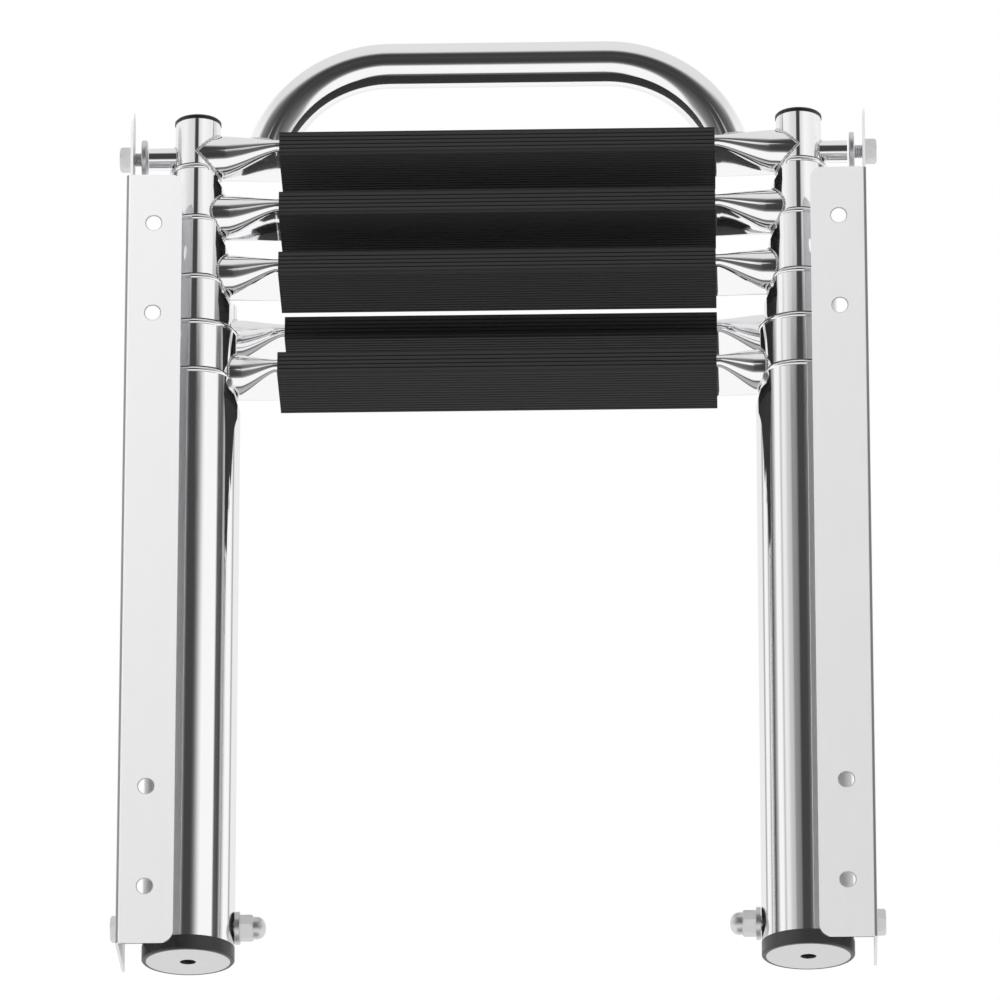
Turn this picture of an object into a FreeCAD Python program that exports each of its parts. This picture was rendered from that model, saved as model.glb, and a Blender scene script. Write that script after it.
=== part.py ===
# Telescoping boat ladder, stowed between its two mounting rails.
# Six nested tubes a side: the largest pair swings on the rails, five frames slide out of it.
# Lengths are in millimetres. Z runs up along the tubes, X across the ladder, and -Y is the
# side of the rail flanges, which bolt to the boat.
import FreeCAD, Part
import math
import os

# Tubes, numbered from the thinnest (1, innermost) to the largest (6)
TUBE_COUNT = 6
TUBE_1_OD = 25.4
TUBE_OD_STEP = 5.08
TUBE_WALL = 1.2
TUBE_SPACING = 338.0
RUN_CLEARANCE = 0.3
COLLAR_FIT = 0.05
BASE_RIM_Z = 337.0
RIM_PITCH = {5: 29.5, 4: 28.0, 3: 36.5, 2: 32.0, 1: 29.0}
TUBE_FOOT_GAP = 9.0

# Guide rings between the tubes
COLLAR_RING_LENGTH = 25.0
FOOT_RING_LENGTH = 20.0

# Rungs: round where they meet a tube, pressed flat under the tread
RUNG_OD = 25.4
RUNG_WALL = 1.5
RUNG_FLAT_WIDTH = 38.0
RUNG_FLAT_THICK = 8.0
RUNG_FLAT_DROP = 1.6
RUNG_ROUND_PAST_RIM = 0.5
FLARE_EASE = 0.02
FLARE_LEAST = 12.0
FLAT_LAP = 1.0
RUNG_ABOVE_RIM = {1: 9.0, 2: 5.0, 3: 5.5, 4: 21.5, 5: 3.0}
STEP_TILT = 9.5
SADDLE_SIDE_GAP = 0.8
SADDLE_RADIUS = RUNG_OD / 2.0 + SADDLE_SIDE_GAP
SADDLE_GAP = 8.0
SADDLE_SHOULDER_SHARE = 0.6

# Treads: ribbed sleeves over the flat of each rung
TREAD_LENGTH = 244.0
TREAD_DEPTH = 45.0
TREAD_THICK = 14.6
TREAD_DROP = 3.2
TREAD_FIT = 0.15
FLAT_PAST_TREAD = 2.0
FRONT_GROOVES = 4
FRONT_GROOVE_PITCH = 2.8
STEP_GROOVES = 15
STEP_GROOVE_PITCH = 2.8
GROOVE_WIDTH = 1.2
GROOVE_DEPTH = 0.8
TREAD_EDGE = 1.0

# Stand-off brackets that carry rung 4 behind the tubes
STANDOFF_FRAME = 4
STANDOFF = 70.0
POST_OD = 25.4
POST_WALL = 1.5
POST_INSET = 6.0
POST_BELOW_RUNG = 16.0
POST_ABOVE_RUNG = 24.0
POST_END_BEVEL = 3.0
ARM_OD = 20.0
ARM_WALL = 1.5
ARM_BELOW_RUNG = 7.0

# Hand loop on rung 1
LOOP_OD = 25.4
LOOP_WALL = 1.5
LOOP_FLAT = 121.5
LOOP_BEND = 70.5
LOOP_TOP_ABOVE_RUNG = 55.3
LOOP_RELIEF = 0.5

# Caps
TOP_CAP_THICK = 2.5
TOP_CAP_OVERHANG = 0.4
TOP_CAP_BEVEL = 0.9
TOP_PLUG_DEPTH = 8.0
END_CAP_THICK = 8.0
END_CAP_BEVEL = 0.8
END_PLUG_DEPTH = 5.5
END_CAP_HOLE = 8.8
END_DISC_INSET = 2.4
END_DISC_THICK = 1.2

# Pivot bolts
PIVOT_ABOVE_PLUG = 1.5
PIVOT_BOLT = 8.0
PIVOT_FIT = 0.08
THREAD_FIT = 0.05
PIVOT_HEX = 13.0
PIVOT_HEAD_THICK = 5.2
PIVOT_NUT_THICK = 7.6
NUT_DOME_HEIGHT = 6.6
NUT_DOME_OD = 12.5
NUT_DOME_ROUND = 5.5
BOLT_IN_NUT = 7.0
WASHER_OD = 18.0
WASHER_THICK = 2.5
SPACER_OD = 16.0
SPACER_LENGTH = 10.1

# Latch at the top of each rail
LATCH_BOSS_OD = 12.7
LATCH_GAP = 1.0
LATCH_WASHER_OD = 22.0
LATCH_WASHER_THICK = 3.0
LATCH_NECK_OD = 8.0
LATCH_NECK_LENGTH = 4.6
LATCH_HEX = 12.4
LATCH_HEAD_THICK = 6.5

# Rails
RAIL_LENGTH = 448.0
RAIL_THICK = 1.5
RAIL_FLANGE = 31.3
RAIL_WEB = 55.0
RAIL_BEND = 0.8
RAIL_CORNER = 6.7
SWING_CLEARANCE = 3.8
SCREW_HOLE = 9.5
LOWER_SCREWS_UP = (32.0, 89.0)
UPPER_SCREWS_DOWN = (82.5, 29.0)
EAR_WIDTH = 18.0
EAR_ABOVE_LATCH = 28.0

X_AXIS = FreeCAD.Vector(1, 0, 0)
Y_AXIS = FreeCAD.Vector(0, 1, 0)
Z_AXIS = FreeCAD.Vector(0, 0, 1)
CENTRE = FreeCAD.Vector(0, 0, 0)


def tube_radius(number):
    """Outer radius of tube 1 to 6."""
    return (TUBE_1_OD + TUBE_OD_STEP * (number - 1)) / 2.0


def rim_height(number):
    """Height of the top rim of a tube."""
    return BASE_RIM_Z + sum(RIM_PITCH[each] for each in range(number, TUBE_COUNT))


def rung_height(number):
    """Height of a rung's axis, above the rim of the next larger tube."""
    return rim_height(number + 1) + RUNG_ABOVE_RIM[number]


# Worked-out places
HALF_SPACING = TUBE_SPACING / 2.0
BASE_RADIUS = tube_radius(TUBE_COUNT)
PIVOT_Z = END_CAP_THICK + END_PLUG_DEPTH + PIVOT_ABOVE_PLUG + PIVOT_BOLT / 2.0
INNER_FOOT_Z = PIVOT_Z + PIVOT_BOLT / 2.0 + TUBE_FOOT_GAP
LATCH_Z = rung_height(1)
WEB_INNER_X = HALF_SPACING + BASE_RADIUS + RUN_CLEARANCE + SPACER_LENGTH
WEB_OUTER_X = WEB_INNER_X + RAIL_THICK
FLANGE_EDGE_X = WEB_OUTER_X - RAIL_FLANGE
FLANGE_MIDDLE_X = (WEB_OUTER_X + FLANGE_EDGE_X) / 2.0
FLANGE_INNER_Y = -(math.hypot(BASE_RADIUS, PIVOT_Z) + SWING_CLEARANCE)
MOUNT_FACE_Y = FLANGE_INNER_Y - RAIL_THICK
WEB_BACK_Y = MOUNT_FACE_Y + RAIL_WEB
NUT_FACE_X = HALF_SPACING - BASE_RADIUS - RUN_CLEARANCE - WASHER_THICK
LATCH_FACE_X = WEB_INNER_X - LATCH_NECK_LENGTH - LATCH_WASHER_THICK

# The part's origin: on the mounting face of the left rail, half-way up
ORIGIN = FreeCAD.Vector(-FLANGE_MIDDLE_X, MOUNT_FACE_Y, RAIL_LENGTH / 2.0)


def rod(radius, start, end):
    """Solid round bar between two points."""
    direction = end.sub(start)
    return Part.makeCylinder(radius, direction.Length, start, direction)


def along_x(radius, x_from, x_to, z):
    """Round bar along X at a height, on the plane of the tube axes."""
    return rod(radius, FreeCAD.Vector(x_from, 0, z), FreeCAD.Vector(x_to, 0, z))


def along_z(radius, z_from, z_to):
    """Round bar along the axis of the left tubes."""
    return rod(radius, FreeCAD.Vector(-HALF_SPACING, 0, z_from), FreeCAD.Vector(-HALF_SPACING, 0, z_to))


def other_side(shape):
    """Mirror image on the other side of the ladder's middle plane."""
    return shape.mirror(CENTRE, X_AXIS)


def hexagon(flats, x_from, x_to, z):
    """Hexagonal prism along X."""
    corner = flats / 2.0 / math.cos(math.radians(30))
    points = []
    for index in range(7):
        angle = math.radians(60 * index)
        points.append(FreeCAD.Vector(x_from, corner * math.sin(angle), z + corner * math.cos(angle)))
    return Part.Face(Part.makePolygon(points)).extrude(X_AXIS * (x_to - x_from))


def saddle(number):
    """Cutter for the notch in a left rim, in which the rung of the next thinner tube nests."""
    rim = rim_height(number)
    bottom = rung_height(number - 1) - RUNG_OD / 2.0 - SADDLE_GAP
    middle = FreeCAD.Vector(-HALF_SPACING, 0, bottom + SADDLE_RADIUS)
    shoulder = SADDLE_SHOULDER_SHARE * (tube_radius(number) - SADDLE_RADIUS)
    together = SADDLE_RADIUS + shoulder
    level = rim - shoulder - middle.z
    reach = math.sqrt(together * together - level * level)
    lift = Z_AXIS * RUNG_OD
    ends = []
    for side in (reach, -reach):
        turn = FreeCAD.Vector(-HALF_SPACING, side, rim - shoulder)
        touch = middle + turn.sub(middle) * (SADDLE_RADIUS / together)
        rim_end = turn + Z_AXIS * shoulder
        way = (touch.sub(turn) + rim_end.sub(turn)).normalize()
        ends.append((rim_end, turn + way * shoulder, touch))
    (rim_a, bow_a, touch_a), (rim_b, bow_b, touch_b) = ends
    lowest = FreeCAD.Vector(-HALF_SPACING, 0, bottom)
    sides = [
        Part.LineSegment(rim_b + lift, rim_a + lift),
        Part.LineSegment(rim_a + lift, rim_a),
        Part.Arc(rim_a, bow_a, touch_a),
        Part.Arc(touch_a, lowest, touch_b),
        Part.Arc(touch_b, bow_b, rim_b),
        Part.LineSegment(rim_b, rim_b + lift),
    ]
    outline = Part.Wire([side.toShape() for side in sides])
    return Part.Face(outline).extrude(X_AXIS * HALF_SPACING)


def has_saddle(number):
    """True where the rung above nests in this tube's rim."""
    return number > 1 and number - 1 != STANDOFF_FRAME


def left_tube(number):
    """One telescoping tube, with its saddle notch."""
    radius = tube_radius(number)
    foot = END_CAP_THICK if number == TUBE_COUNT else INNER_FOOT_Z
    top = rim_height(number)
    tube = along_z(radius, foot, top).cut(along_z(radius - TUBE_WALL, foot - 1, top + 1))
    if has_saddle(number):
        tube = tube.cut(saddle(number))
    if number == TUBE_COUNT:
        tube = tube.cut(along_x(PIVOT_BOLT / 2.0 + PIVOT_FIT, -WEB_OUTER_X, 0, PIVOT_Z))
    return tube


def ring(outer, inner, z_from, z_to):
    """Ring round the left tube axis."""
    return along_z(outer, z_from, z_to).cut(along_z(inner, z_from - 1, z_to + 1))


def collar_ring(number):
    """Guide ring inside the rim of a tube, which the next thinner tube slides through."""
    top = rim_height(number)
    outer = tube_radius(number) - TUBE_WALL - COLLAR_FIT
    inner = tube_radius(number - 1) + RUN_CLEARANCE
    piece = ring(outer, inner, top - COLLAR_RING_LENGTH, top)
    if has_saddle(number):
        piece = piece.cut(saddle(number))
    return piece


def foot_ring(number):
    """Guide ring round the foot of a tube, which slides inside the next larger one."""
    outer = tube_radius(number + 1) - TUBE_WALL - RUN_CLEARANCE
    return ring(outer, tube_radius(number), INNER_FOOT_Z, INNER_FOOT_Z + FOOT_RING_LENGTH)


def guide_bushings(number):
    """All guide rings that one frame carries, left and right."""
    rings = []
    if number < TUBE_COUNT:
        rings.append(foot_ring(number))
    if number > 1:
        rings.append(collar_ring(number))
    return Part.makeCompound(rings + [other_side(piece) for piece in rings])


def slot_wire(x, width, thick, drop, tilt):
    """Closed outline with round ends, across the rung at a place along it."""
    radius = thick / 2.0
    half = width / 2.0 - radius
    over = Part.LineSegment(FreeCAD.Vector(x, -half, radius), FreeCAD.Vector(x, half, radius))
    back = Part.Arc(FreeCAD.Vector(x, half, radius), FreeCAD.Vector(x, half + radius, 0),
                    FreeCAD.Vector(x, half, -radius))
    under = Part.LineSegment(FreeCAD.Vector(x, half, -radius), FreeCAD.Vector(x, -half, -radius))
    front = Part.Arc(FreeCAD.Vector(x, -half, -radius), FreeCAD.Vector(x, -half - radius, 0),
                     FreeCAD.Vector(x, -half, radius))
    wire = Part.Wire([edge.toShape() for edge in (over, back, under, front)])
    wire.rotate(FreeCAD.Vector(x, 0, 0), X_AXIS, -tilt)
    wire.translate(FreeCAD.Vector(0, 0, -drop))
    return wire


def rung_place(number):
    """Middle of a rung: on the tube axes, or behind them for the stand-off rung."""
    back = STANDOFF if number == STANDOFF_FRAME else 0
    return FreeCAD.Vector(0, back, rung_height(number))


def rung_carrier(number):
    """Half the distance between the uprights that carry a rung, and their radius."""
    if number == STANDOFF_FRAME:
        return HALF_SPACING - POST_INSET, POST_OD / 2.0
    return HALF_SPACING, tube_radius(number)


def flat_ends(flat_x):
    """Centres of the two round edges of a rung's flat, where the left flare begins."""
    reach = (RUNG_FLAT_WIDTH - RUNG_FLAT_THICK) / 2.0
    tilt = math.radians(STEP_TILT)
    return [FreeCAD.Vector(-flat_x, side * math.cos(tilt), -side * math.sin(tilt) - RUNG_FLAT_DROP)
            for side in (reach, -reach)]


def flare_cone(big, big_radius, small, small_radius):
    """Cone that wraps two balls, from the circle where it leaves one to where it meets the other."""
    line = small.sub(big)
    lean = (big_radius - small_radius) / line.Length
    spread = math.sqrt(1.0 - lean * lean)
    start = big + line * (big_radius * lean / line.Length)
    end = small + line * (small_radius * lean / line.Length)
    return Part.makeCone(big_radius * spread, small_radius * spread, end.sub(start).Length, start, line)


def flare_wedge(big, big_radius, small, small_radius):
    """Wedge whose two flat faces touch one big ball and a pair of small ones."""
    across = small[0].sub(small[1]).normalize()
    middle = (small[0] + small[1]) * 0.5 - big
    middle = middle - across * middle.dot(across)
    lean = (big_radius - small_radius) / middle.Length
    spread = math.sqrt(1.0 - lean * lean)
    sides = []
    for way in (1, -1):
        out = middle * (lean / middle.Length) + across.cross(middle).normalize() * (way * spread)
        sides.append([big + out * big_radius] + [ball + out * small_radius for ball in small])
    over, under = sides
    faces = [Part.makePolygon([*side, side[0]]) for side in sides]
    for a, b in ((0, 1), (1, 2), (2, 0)):
        faces.append(Part.makePolygon([over[a], over[b], under[b], under[a], over[a]]))
    return Part.makeSolid(Part.makeShell([Part.Face(face) for face in faces]))


def rung_spans(number):
    """Half-lengths of a rung: to its upright's axis, to the end of its round part, to its flat."""
    end_x, carrier_radius = rung_carrier(number)
    flat_x = TREAD_LENGTH / 2.0 + FLAT_PAST_TREAD
    round_x = end_x - carrier_radius - TUBE_OD_STEP / 2.0 - RUNG_ROUND_PAST_RIM
    return end_x, max(round_x, flat_x + FLARE_LEAST), flat_x


def rung_bar(number):
    """Solid rung from upright axis to upright axis: round ends, pressed flares and a long flat."""
    end_x, round_x, flat_x = rung_spans(number)
    radius = RUNG_OD / 2.0
    big = FreeCAD.Vector(-round_x, 0, 0)
    small = flat_ends(flat_x)
    eased = radius - FLARE_EASE
    edge = RUNG_FLAT_THICK / 2.0 - FLARE_EASE
    left = flare_cone(big, eased, small[0], edge).fuse(flare_cone(big, eased, small[1], edge))
    left = left.fuse(flare_wedge(big, eased, small, edge))
    left = left.fuse(Part.makeSphere(radius, big, X_AXIS, 0, 90, 360))
    left = left.fuse(Part.makeCylinder(radius, end_x - round_x, FreeCAD.Vector(-end_x, 0, 0), X_AXIS))
    start = flat_x + FLAT_LAP
    flat = Part.Face(slot_wire(-start, RUNG_FLAT_WIDTH, RUNG_FLAT_THICK, RUNG_FLAT_DROP, STEP_TILT))
    bar = left.fuse(flat.extrude(X_AXIS * (2 * start))).fuse(other_side(left))
    bar.translate(rung_place(number))
    return bar


def rung_bore(number):
    """Bore of a rung: round in its ends, narrowing through the flares, a slot in its flat."""
    end_x, round_x, flat_x = rung_spans(number)
    radius = RUNG_OD / 2.0 - RUNG_WALL
    neck = RUNG_FLAT_THICK / 2.0 - RUNG_FLAT_DROP - RUNG_WALL
    left = Part.makeCylinder(radius, end_x - round_x, FreeCAD.Vector(-end_x, 0, 0), X_AXIS)
    left = left.fuse(Part.makeCone(radius, neck, round_x - flat_x, FreeCAD.Vector(-round_x, 0, 0), X_AXIS))
    width = RUNG_FLAT_WIDTH - 2 * RUNG_WALL
    thick = RUNG_FLAT_THICK - 2 * RUNG_WALL
    slot = Part.Face(slot_wire(-flat_x, width, thick, RUNG_FLAT_DROP, STEP_TILT)).extrude(X_AXIS * (2 * flat_x))
    bore = left.fuse(slot).fuse(other_side(left))
    bore.translate(rung_place(number))
    return bore


def rung(number):
    """Hollow rung with its fish-mouth ends, fitted round the uprights that carry it."""
    end_x, carrier_radius = rung_carrier(number)
    foot = FreeCAD.Vector(-end_x, rung_place(number).y, 0)
    upright = rod(carrier_radius, foot, foot + Z_AXIS * (rim_height(1) + RUNG_OD))
    body = rung_bar(number).cut(upright).cut(other_side(upright))
    return body.cut(rung_bore(number))


def groove_run(start, step, count, pitch, depth_way):
    """Points of a row of square grooves, centred on start, running along step."""
    points = []
    first = -(count - 1) / 2.0 * pitch
    for index in range(count):
        middle = first + index * pitch
        for offset, deep in ((-0.5, 0), (-0.5, 1), (0.5, 1), (0.5, 0)):
            points.append(start + step * (middle + offset * GROOVE_WIDTH) + depth_way * (deep * GROOVE_DEPTH))
    return points


def tread_wire():
    """Outline of a tread across its length: ribbed front, back and step face, cut corners."""
    y = TREAD_DEPTH / 2.0
    z = TREAD_THICK / 2.0
    edge = TREAD_EDGE
    points = [FreeCAD.Vector(0, edge - y, z), FreeCAD.Vector(0, -y, z - edge)]
    points += groove_run(Y_AXIS * -y, Z_AXIS * -1, FRONT_GROOVES, FRONT_GROOVE_PITCH, Y_AXIS)
    points += [FreeCAD.Vector(0, -y, edge - z), FreeCAD.Vector(0, edge - y, -z)]
    points += groove_run(Z_AXIS * -z, Y_AXIS, STEP_GROOVES, STEP_GROOVE_PITCH, Z_AXIS)
    points += [FreeCAD.Vector(0, y - edge, -z), FreeCAD.Vector(0, y, edge - z)]
    points += groove_run(Y_AXIS * y, Z_AXIS, FRONT_GROOVES, FRONT_GROOVE_PITCH, Y_AXIS * -1)
    points += [FreeCAD.Vector(0, y, z - edge), FreeCAD.Vector(0, y - edge, z)]
    return Part.makePolygon(points + [points[0]])


def tread(number):
    """Tread sleeve, tilted with the flat of its rung."""
    outline = tread_wire()
    outline.rotate(CENTRE, X_AXIS, -STEP_TILT)
    outline.translate(FreeCAD.Vector(-TREAD_LENGTH / 2.0, 0, -TREAD_DROP))
    sleeve = Part.Face(outline).extrude(X_AXIS * TREAD_LENGTH)
    width = RUNG_FLAT_WIDTH + 2 * TREAD_FIT
    thick = RUNG_FLAT_THICK + 2 * TREAD_FIT
    bore = Part.Face(slot_wire(-TREAD_LENGTH, width, thick, RUNG_FLAT_DROP, STEP_TILT))
    sleeve = sleeve.cut(bore.extrude(X_AXIS * (2 * TREAD_LENGTH)))
    sleeve.translate(rung_place(number))
    if number == 1:
        sleeve = sleeve.cut(loop_bar(LOOP_OD / 2.0 + LOOP_RELIEF))
    return sleeve


def loop_bar(radius):
    """Hand loop as a solid bar: a straight top and two bends down to the axis of rung 1."""
    z_top = rung_height(1) + LOOP_TOP_ABOVE_RUNG
    half = LOOP_FLAT / 2.0
    turn = math.degrees(math.acos(1.0 - LOOP_TOP_ABOVE_RUNG / LOOP_BEND))
    end = FreeCAD.Vector(-half, 0, z_top)
    circle = Part.Wire(Part.Circle(end, X_AXIS, radius).toShape())
    bend = Part.Face(circle).revolve(end - Z_AXIS * LOOP_BEND, Y_AXIS * -1, turn)
    return along_x(radius, -half, half, z_top).fuse([bend, other_side(bend)]).removeSplitter()


def hand_loop():
    """Hollow hand loop, its legs fitted to rung 1."""
    loop = loop_bar(LOOP_OD / 2.0).cut(loop_bar(LOOP_OD / 2.0 - LOOP_WALL))
    pieces = loop.cut(rung_bar(1)).Solids
    return max(pieces, key=lambda piece: piece.Volume)


def stand_off():
    """Left bracket: a short arm from the back of its tube and the post that carries rung 4."""
    middle = rung_place(STANDOFF_FRAME)
    x = POST_INSET - HALF_SPACING
    foot = FreeCAD.Vector(x, middle.y, middle.z - POST_BELOW_RUNG)
    head = FreeCAD.Vector(x, middle.y, middle.z + POST_ABOVE_RUNG)
    post = rod(POST_OD / 2.0, foot, head)
    ends = [edge for edge in post.Edges if abs(edge.BoundBox.ZLength) < 0.01]
    post = post.makeChamfer(POST_END_BEVEL, ends)
    inside = rod(POST_OD / 2.0 - POST_WALL, foot + Z_AXIS * POST_END_BEVEL, head - Z_AXIS * POST_END_BEVEL)
    root = FreeCAD.Vector(x, 0, middle.z - ARM_BELOW_RUNG)
    tip = root + Y_AXIS * middle.y
    arm = rod(ARM_OD / 2.0, root, tip).cut(rod(ARM_OD / 2.0 - ARM_WALL, root, tip))
    tube = along_z(tube_radius(STANDOFF_FRAME), 0, rim_height(1))
    arm = arm.cut(tube).cut(rod(POST_OD / 2.0 - POST_WALL, foot, head)).cut(rung_bar(STANDOFF_FRAME))
    return post.cut(inside).fuse(arm)


def top_cap():
    """Left cap on tube 1: a low button with a plug."""
    top = rim_height(1)
    radius = tube_radius(1)
    button = along_z(radius + TOP_CAP_OVERHANG, top, top + TOP_CAP_THICK)
    edge = max(button.Edges, key=lambda each: each.CenterOfMass.z)
    button = button.makeChamfer(TOP_CAP_BEVEL, [edge])
    return button.fuse(along_z(radius - TUBE_WALL, top - TOP_PLUG_DEPTH, top))


def end_cap():
    """Left cap under the largest tube: a bevelled band and plug, bored, with a seat for the disc."""
    band = along_z(BASE_RADIUS, 0, END_CAP_THICK)
    edge = min(band.Edges, key=lambda each: each.CenterOfMass.z)
    band = band.makeChamfer(END_CAP_BEVEL, [edge])
    plug_top = END_CAP_THICK + END_PLUG_DEPTH
    cap = band.fuse(along_z(BASE_RADIUS - TUBE_WALL, END_CAP_THICK, plug_top))
    cap = cap.cut(along_z(END_CAP_HOLE / 2.0, -1, plug_top + 1))
    return cap.cut(along_z(BASE_RADIUS - END_DISC_INSET, -1, END_DISC_THICK))


def end_disc():
    """Left metal disc set in the underside of the end cap."""
    return ring(BASE_RADIUS - END_DISC_INSET, END_CAP_HOLE / 2.0, 0, END_DISC_THICK)


def rail_section():
    """Angle section of the left rail, bent with a round corner, at height zero."""
    x_out = -WEB_OUTER_X
    x_in = -WEB_INNER_X
    edge = -FLANGE_EDGE_X
    bend_x = x_in + RAIL_BEND
    bend_y = FLANGE_INNER_Y + RAIL_BEND
    outer = (RAIL_BEND + RAIL_THICK) * math.cos(math.radians(45))
    inner = RAIL_BEND * math.cos(math.radians(45))

    def at(x, y):
        return FreeCAD.Vector(x, y, 0)

    sides = [
        Part.LineSegment(at(edge, MOUNT_FACE_Y), at(edge, FLANGE_INNER_Y)),
        Part.LineSegment(at(edge, FLANGE_INNER_Y), at(bend_x, FLANGE_INNER_Y)),
        Part.Arc(at(bend_x, FLANGE_INNER_Y), at(bend_x - inner, bend_y - inner), at(x_in, bend_y)),
        Part.LineSegment(at(x_in, bend_y), at(x_in, WEB_BACK_Y)),
        Part.LineSegment(at(x_in, WEB_BACK_Y), at(x_out, WEB_BACK_Y)),
        Part.LineSegment(at(x_out, WEB_BACK_Y), at(x_out, bend_y)),
        Part.Arc(at(x_out, bend_y), at(bend_x - outer, bend_y - outer), at(bend_x, MOUNT_FACE_Y)),
        Part.LineSegment(at(bend_x, MOUNT_FACE_Y), at(edge, MOUNT_FACE_Y)),
    ]
    return Part.Face(Part.Wire([side.toShape() for side in sides]))


def round_flange_corners(body):
    """Round the two free corners of the flange."""
    corners = []
    for edge in body.Edges:
        at_edge = abs(edge.CenterOfMass.x + FLANGE_EDGE_X) < 0.01
        if at_edge and edge.BoundBox.XLength < 0.01 and edge.BoundBox.ZLength < 0.01:
            corners.append(edge)
    return body.makeFillet(RAIL_CORNER, corners)


def rail_ear():
    """Tall rounded ear, rooted in the web, which holds the latch bolt."""
    half = EAR_WIDTH / 2.0
    round_z = LATCH_Z + EAR_ABOVE_LATCH - half
    foot_z = min(RAIL_LENGTH, LATCH_Z) - RAIL_CORNER
    plate = Part.makeBox(RAIL_THICK, EAR_WIDTH, round_z - foot_z)
    plate.translate(FreeCAD.Vector(-WEB_OUTER_X, -half, foot_z))
    return plate.fuse(along_x(half, -WEB_OUTER_X, -WEB_INNER_X, round_z))


def screw_hole(z):
    """Cutter for a hole through the flange."""
    face = FreeCAD.Vector(-FLANGE_MIDDLE_X, MOUNT_FACE_Y, z)
    return rod(SCREW_HOLE / 2.0, face - Y_AXIS, face + Y_AXIS * (RAIL_THICK + 1))


def left_rail():
    """Left rail: angle section, ear, screw holes, pivot hole and latch hole."""
    body = round_flange_corners(rail_section().extrude(Z_AXIS * RAIL_LENGTH))
    body = body.fuse(rail_ear()).removeSplitter()
    heights = list(LOWER_SCREWS_UP) + [RAIL_LENGTH - down for down in UPPER_SCREWS_DOWN]
    for z in heights:
        body = body.cut(screw_hole(z))
    for bore, z in ((PIVOT_BOLT, PIVOT_Z), (LATCH_NECK_OD, LATCH_Z)):
        body = body.cut(along_x(bore / 2.0 + THREAD_FIT, -WEB_OUTER_X - 1, -WEB_INNER_X + 1, z))
    return body


def pivot_bolt():
    """Left pivot bolt: hex head outside the web, shank through the tube into the nut."""
    head = hexagon(PIVOT_HEX, -WEB_OUTER_X - PIVOT_HEAD_THICK, -WEB_OUTER_X, PIVOT_Z)
    return head.fuse(along_x(PIVOT_BOLT / 2.0, -WEB_OUTER_X, -NUT_FACE_X + BOLT_IN_NUT, PIVOT_Z))


def nut_dome(base_x):
    """Dome of a nut, turned in three tapers that follow its round."""
    radius = NUT_DOME_OD / 2.0
    straight = NUT_DOME_HEIGHT - NUT_DOME_ROUND
    profile = [FreeCAD.Vector(base_x, 0, 0), FreeCAD.Vector(base_x, radius, 0)]
    for step in range(4):
        angle = math.radians(25.0 * step)
        along = base_x + straight + NUT_DOME_ROUND * math.sin(angle)
        profile.append(FreeCAD.Vector(along, radius - NUT_DOME_ROUND * (1.0 - math.cos(angle)), 0))
    profile.append(FreeCAD.Vector(profile[-1].x, 0, 0))
    dome = Part.Face(Part.makePolygon(profile + [profile[0]])).revolve(CENTRE, X_AXIS, 360)
    dome.translate(Z_AXIS * PIVOT_Z)
    return dome


def pivot_nut():
    """Left domed nut on the inner side of the largest tube."""
    dome_x = -NUT_FACE_X + PIVOT_NUT_THICK
    body = hexagon(PIVOT_HEX, -NUT_FACE_X, dome_x, PIVOT_Z)
    bore_end = -NUT_FACE_X + BOLT_IN_NUT + THREAD_FIT
    bore = along_x(PIVOT_BOLT / 2.0 + THREAD_FIT, -NUT_FACE_X, bore_end, PIVOT_Z)
    return body.fuse(nut_dome(dome_x)).cut(bore)


def bored_disc(outside_diameter, x_from, x_to):
    """Washer or spacer on the left pivot bolt."""
    disc = along_x(outside_diameter / 2.0, x_from, x_to, PIVOT_Z)
    return disc.cut(along_x(PIVOT_BOLT / 2.0 + THREAD_FIT, x_from - 1, x_to + 1, PIVOT_Z))


def latch_boss():
    """Left boss welded to the outer side of tube 1, in line with rung 1."""
    boss = along_x(LATCH_BOSS_OD / 2.0, -LATCH_FACE_X + LATCH_GAP, -HALF_SPACING, LATCH_Z)
    return boss.cut(along_z(tube_radius(1), 0, rim_height(1)))


def latch_bolt():
    """Left latch bolt: hex knob outside the ear, neck through it and a broad washer inside."""
    knob = hexagon(LATCH_HEX, -WEB_OUTER_X - LATCH_HEAD_THICK, -WEB_OUTER_X, LATCH_Z)
    washer_x = -LATCH_FACE_X - LATCH_WASHER_THICK
    neck = along_x(LATCH_NECK_OD / 2.0, -WEB_OUTER_X, washer_x, LATCH_Z)
    washer = along_x(LATCH_WASHER_OD / 2.0, washer_x, -LATCH_FACE_X, LATCH_Z)
    return knob.fuse(neck).fuse(washer)


def one_side_nodes():
    """Pieces of the left side, which have a mirror image on the right."""
    tube_edge = HALF_SPACING + BASE_RADIUS + RUN_CLEARANCE
    nodes = {"tube_%d" % number: left_tube(number) for number in range(1, TUBE_COUNT + 1)}
    nodes["end_cap"] = end_cap()
    nodes["end_disc"] = end_disc()
    nodes["top_cap"] = top_cap()
    nodes["stand_off"] = stand_off()
    nodes["rail"] = left_rail()
    nodes["pivot_bolt"] = pivot_bolt()
    nodes["pivot_nut"] = pivot_nut()
    nodes["pivot_washer"] = bored_disc(WASHER_OD, -NUT_FACE_X - WASHER_THICK, -NUT_FACE_X)
    nodes["pivot_spacer"] = bored_disc(SPACER_OD, -WEB_INNER_X, -tube_edge)
    nodes["latch_boss"] = latch_boss()
    nodes["latch_bolt"] = latch_bolt()
    return nodes


def all_nodes():
    """Every node of the ladder, by name."""
    nodes = {"hand_loop": hand_loop()}
    for number in range(1, TUBE_COUNT + 1):
        nodes["guide_bushings_%d" % number] = guide_bushings(number)
    for number in range(1, TUBE_COUNT):
        nodes["rung_%d" % number] = rung(number)
        nodes["tread_%d" % number] = tread(number)
    for name, shape in one_side_nodes().items():
        nodes["left_" + name] = shape
        nodes["right_" + name] = other_side(shape)
    return nodes


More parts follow.
